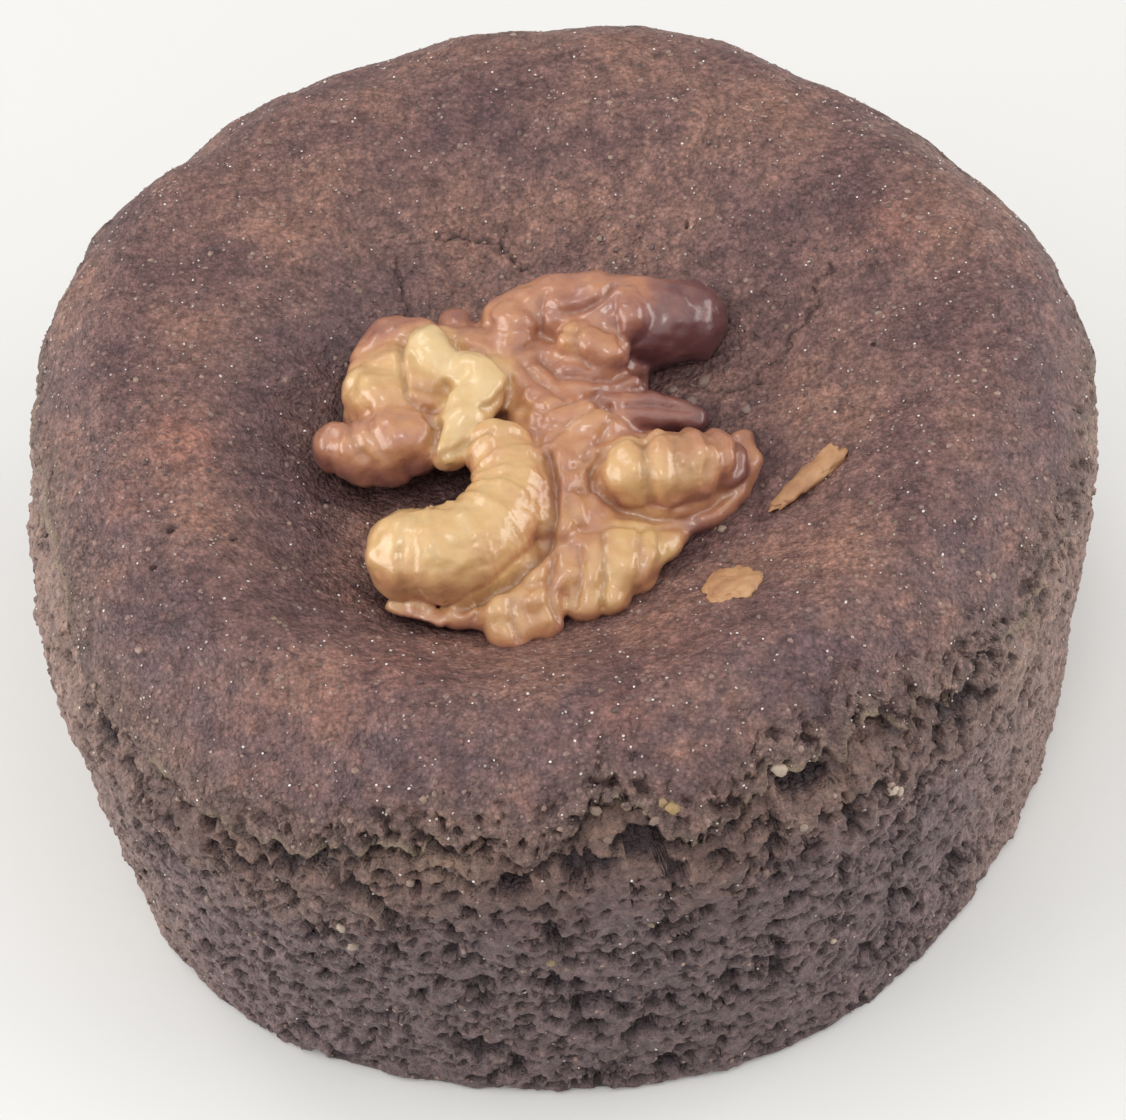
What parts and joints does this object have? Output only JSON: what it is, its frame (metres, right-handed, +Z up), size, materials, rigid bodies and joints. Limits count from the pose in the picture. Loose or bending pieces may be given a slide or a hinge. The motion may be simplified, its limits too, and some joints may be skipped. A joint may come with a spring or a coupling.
{
  "type": "small round honey cake with walnut",
  "caption": "Small round dark honey cake with a rounded rim, a torn crust edge, a coarse holey side and a walnut half baked into its sunken top.",
  "frame": {"origin": "middle of the outline on the flat base", "axes": "+Z up through the sunken top, -Y towards the front where the crust edge is torn deepest, +X to the right"},
  "size_m": [0.061, 0.062, 0.0314],
  "materials": {
    "dark_crumb": "dark brown baked crust and coarse porous crumb, dull with small glints",
    "walnut_kernel": "wrinkled pink-brown skin with pale yellow flesh, soft gloss"
  },
  "bodies": {
    "root": {"cake": "dark_crumb", "walnut": "walnut_kernel"}
  },
  "joints": []
}
